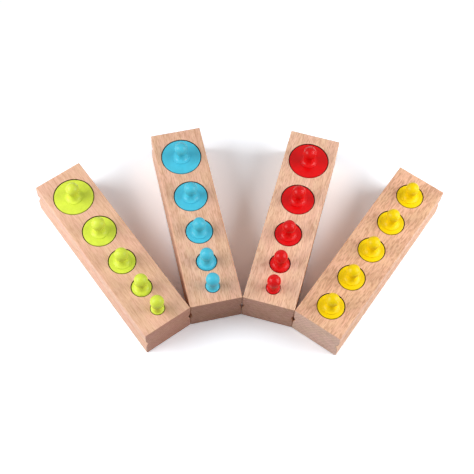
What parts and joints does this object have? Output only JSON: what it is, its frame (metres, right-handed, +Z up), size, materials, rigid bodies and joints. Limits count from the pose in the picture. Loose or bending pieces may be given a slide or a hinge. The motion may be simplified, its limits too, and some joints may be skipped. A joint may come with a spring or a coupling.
{
  "type": "knobbed cylinder block set",
  "caption": "Beech blocks laid out as a fan, finger grooves along their sides, each with a row of glossy painted cylinders, graded in size, that lift out of blind bores by turned knobs.",
  "frame": {"origin": "on the table, under the middle of the fan's bounding box", "axes": "+X to the right of a person who sits at the near ends of the blocks, along the fan's longest side; +Y away from that person, towards the far ends; +Z up, the shortest side"},
  "size_m": [0.3988, 0.2332, 0.0623],
  "materials": {
    "beech": "sanded beech with a thin satin varnish, short dark ray flecks along the grain",
    "green_paint": "wood under glossy opaque lime green paint",
    "blue_paint": "wood under glossy opaque sky blue paint",
    "red_paint": "wood under glossy opaque signal red paint",
    "yellow_paint": "wood under glossy opaque bright yellow paint"
  },
  "bodies": {
    "green_block": {"green_block": "beech"},
    "blue_block": {"blue_block": "beech"},
    "red_block": {"red_block": "beech"},
    "yellow_block": {"yellow_block": "beech"},
    "green_cylinder_1": {"green_cylinder_1": "green_paint", "green_knob_1": "green_paint"},
    "green_cylinder_2": {"green_cylinder_2": "green_paint", "green_knob_2": "green_paint"},
    "green_cylinder_3": {"green_cylinder_3": "green_paint", "green_knob_3": "green_paint"},
    "green_cylinder_4": {"green_cylinder_4": "green_paint", "green_knob_4": "green_paint"},
    "green_cylinder_5": {"green_cylinder_5": "green_paint", "green_knob_5": "green_paint"},
    "blue_cylinder_1": {"blue_cylinder_1": "blue_paint", "blue_knob_1": "blue_paint"},
    "blue_cylinder_2": {"blue_cylinder_2": "blue_paint", "blue_knob_2": "blue_paint"},
    "blue_cylinder_3": {"blue_cylinder_3": "blue_paint", "blue_knob_3": "blue_paint"},
    "blue_cylinder_4": {"blue_cylinder_4": "blue_paint", "blue_knob_4": "blue_paint"},
    "blue_cylinder_5": {"blue_cylinder_5": "blue_paint", "blue_knob_5": "blue_paint"},
    "red_cylinder_1": {"red_cylinder_1": "red_paint", "red_knob_1": "red_paint"},
    "red_cylinder_2": {"red_cylinder_2": "red_paint", "red_knob_2": "red_paint"},
    "red_cylinder_3": {"red_cylinder_3": "red_paint", "red_knob_3": "red_paint"},
    "red_cylinder_4": {"red_cylinder_4": "red_paint", "red_knob_4": "red_paint"},
    "red_cylinder_5": {"red_cylinder_5": "red_paint", "red_knob_5": "red_paint"},
    "yellow_cylinder_1": {"yellow_cylinder_1": "yellow_paint", "yellow_knob_1": "yellow_paint"},
    "yellow_cylinder_2": {"yellow_cylinder_2": "yellow_paint", "yellow_knob_2": "yellow_paint"},
    "yellow_cylinder_3": {"yellow_cylinder_3": "yellow_paint", "yellow_knob_3": "yellow_paint"},
    "yellow_cylinder_4": {"yellow_cylinder_4": "yellow_paint", "yellow_knob_4": "yellow_paint"},
    "yellow_cylinder_5": {"yellow_cylinder_5": "yellow_paint", "yellow_knob_5": "yellow_paint"}
  },
  "joints": [
    {"name": "lift_green_block", "type": "slide", "parent": "blue_block", "child": "green_block", "axis": [0, 0, 1], "range_m": [0, 0.07]},
    {"name": "lift_red_block", "type": "slide", "parent": "blue_block", "child": "red_block", "axis": [0, 0, 1], "range_m": [0, 0.07]},
    {"name": "lift_yellow_block", "type": "slide", "parent": "blue_block", "child": "yellow_block", "axis": [0, 0, 1], "range_m": [0, 0.07]},
    {"name": "lift_green_cylinder_1", "type": "slide", "parent": "green_block", "child": "green_cylinder_1", "axis": [0, 0, 1], "range_m": [0, 0.035]},
    {"name": "lift_green_cylinder_2", "type": "slide", "parent": "green_block", "child": "green_cylinder_2", "axis": [0, 0, 1], "range_m": [0, 0.04]},
    {"name": "lift_green_cylinder_3", "type": "slide", "parent": "green_block", "child": "green_cylinder_3", "axis": [0, 0, 1], "range_m": [0, 0.045]},
    {"name": "lift_green_cylinder_4", "type": "slide", "parent": "green_block", "child": "green_cylinder_4", "axis": [0, 0, 1], "range_m": [0, 0.05]},
    {"name": "lift_green_cylinder_5", "type": "slide", "parent": "green_block", "child": "green_cylinder_5", "axis": [0, 0, 1], "range_m": [0, 0.055]},
    {"name": "lift_blue_cylinder_1", "type": "slide", "parent": "blue_block", "child": "blue_cylinder_1", "axis": [0, 0, 1], "range_m": [0, 0.055]},
    {"name": "lift_blue_cylinder_2", "type": "slide", "parent": "blue_block", "child": "blue_cylinder_2", "axis": [0, 0, 1], "range_m": [0, 0.05]},
    {"name": "lift_blue_cylinder_3", "type": "slide", "parent": "blue_block", "child": "blue_cylinder_3", "axis": [0, 0, 1], "range_m": [0, 0.045]},
    {"name": "lift_blue_cylinder_4", "type": "slide", "parent": "blue_block", "child": "blue_cylinder_4", "axis": [0, 0, 1], "range_m": [0, 0.04]},
    {"name": "lift_blue_cylinder_5", "type": "slide", "parent": "blue_block", "child": "blue_cylinder_5", "axis": [0, 0, 1], "range_m": [0, 0.035]},
    {"name": "lift_red_cylinder_1", "type": "slide", "parent": "red_block", "child": "red_cylinder_1", "axis": [0, 0, 1], "range_m": [0, 0.055]},
    {"name": "lift_red_cylinder_2", "type": "slide", "parent": "red_block", "child": "red_cylinder_2", "axis": [0, 0, 1], "range_m": [0, 0.055]},
    {"name": "lift_red_cylinder_3", "type": "slide", "parent": "red_block", "child": "red_cylinder_3", "axis": [0, 0, 1], "range_m": [0, 0.055]},
    {"name": "lift_red_cylinder_4", "type": "slide", "parent": "red_block", "child": "red_cylinder_4", "axis": [0, 0, 1], "range_m": [0, 0.055]},
    {"name": "lift_red_cylinder_5", "type": "slide", "parent": "red_block", "child": "red_cylinder_5", "axis": [0, 0, 1], "range_m": [0, 0.055]},
    {"name": "lift_yellow_cylinder_1", "type": "slide", "parent": "yellow_block", "child": "yellow_cylinder_1", "axis": [0, 0, 1], "range_m": [0, 0.055]},
    {"name": "lift_yellow_cylinder_2", "type": "slide", "parent": "yellow_block", "child": "yellow_cylinder_2", "axis": [0, 0, 1], "range_m": [0, 0.05]},
    {"name": "lift_yellow_cylinder_3", "type": "slide", "parent": "yellow_block", "child": "yellow_cylinder_3", "axis": [0, 0, 1], "range_m": [0, 0.045]},
    {"name": "lift_yellow_cylinder_4", "type": "slide", "parent": "yellow_block", "child": "yellow_cylinder_4", "axis": [0, 0, 1], "range_m": [0, 0.04]},
    {"name": "lift_yellow_cylinder_5", "type": "slide", "parent": "yellow_block", "child": "yellow_cylinder_5", "axis": [0, 0, 1], "range_m": [0, 0.035]}
  ]
}
